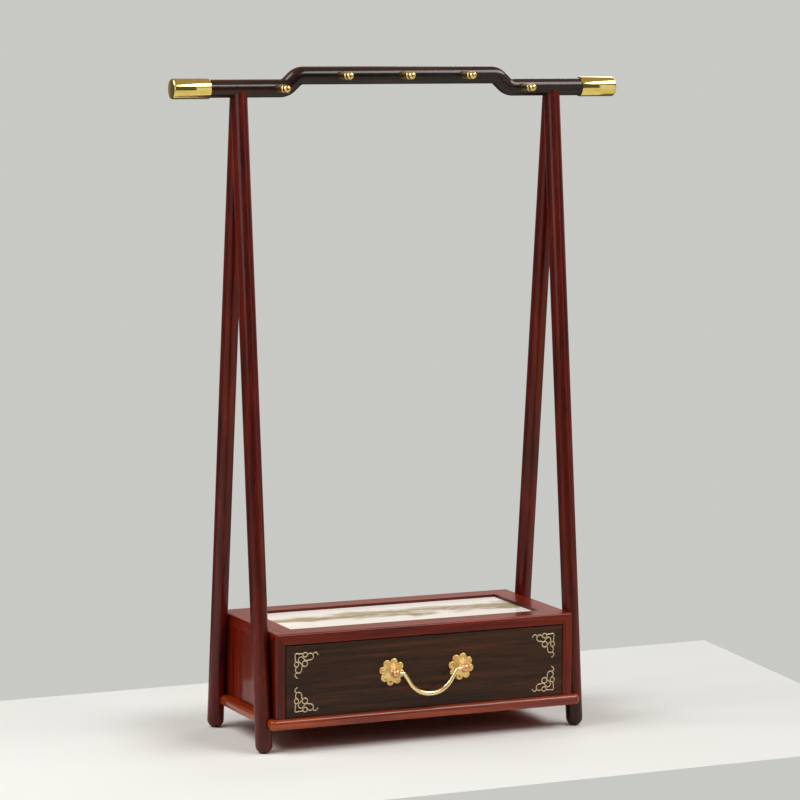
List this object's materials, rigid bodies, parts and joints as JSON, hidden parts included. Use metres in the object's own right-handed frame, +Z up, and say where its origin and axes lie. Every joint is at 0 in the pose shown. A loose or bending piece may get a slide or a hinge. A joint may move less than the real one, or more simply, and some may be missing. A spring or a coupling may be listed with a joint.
{
  "type": "brush stand with drawer",
  "caption": "Tabletop brush and pen stand: round-leg A-frames carry a cranked beam with hanging pegs above a panelled case with a tile top and a drawer with a bail pull.",
  "frame": {"origin": "on the ground, midway between the four feet", "axes": "+Z up, +X along the beam to the right as seen from the drawer, drawer opens towards -Y"},
  "size_m": [0.324, 0.1163, 0.4504],
  "materials": {
    "rosewood": "polished lacquer, red-brown rosewood with dark streaks",
    "beam_wood": "polished dark rosewood",
    "drawer_front_wood": "satin blackwood with brown streaks along its length",
    "inner_wood": "plain planed wood, unfinished",
    "porcelain": "glossy clear glaze over a pale body with a faint wash of colour",
    "brass": "polished, lightly aged"
  },
  "bodies": {
    "stand": {"beam": "beam_wood", "beam_caps": "brass", "peg_1": "brass", "peg_2": "brass", "peg_3": "brass", "peg_4": "brass", "peg_5": "brass", "leg_front_left": "rosewood", "leg_back_left": "rosewood", "leg_front_right": "rosewood", "leg_back_right": "rosewood", "leg_top_tenons": "inner_wood", "leg_side_tenons": "inner_wood", "base_rail_front": "rosewood", "base_rail_back": "rosewood", "base_rail_left": "rosewood", "base_rail_right": "rosewood", "base_panel": "rosewood", "post_front_left": "rosewood", "post_back_left": "rosewood", "post_front_right": "rosewood", "post_back_right": "rosewood", "top_rail_front": "rosewood", "top_rail_back": "rosewood", "top_rail_left": "rosewood", "top_rail_right": "rosewood", "side_panel_left": "rosewood", "side_panel_right": "rosewood", "back_panel": "rosewood", "tile": "porcelain"},
    "drawer": {"drawer_front": "drawer_front_wood", "drawer_side_left": "inner_wood", "drawer_side_right": "inner_wood", "drawer_back": "inner_wood", "drawer_bottom": "inner_wood", "rosette_left": "brass", "rosette_right": "brass", "handle_post_left": "brass", "handle_post_right": "brass", "rosette_nails": "brass", "handle_nuts": "brass"},
    "bail": {"bail": "brass"}
  },
  "joints": [
    {"name": "drawer_slide", "type": "slide", "parent": "stand", "child": "drawer", "axis": [0, -1, 0], "range_m": [0, 0.08]},
    {"name": "bail_swing", "type": "hinge", "parent": "drawer", "child": "bail", "pos_m": [0, -0.0582, 0.0487], "axis": [-1, 0, 0], "range_deg": [-20, 200]}
  ]
}
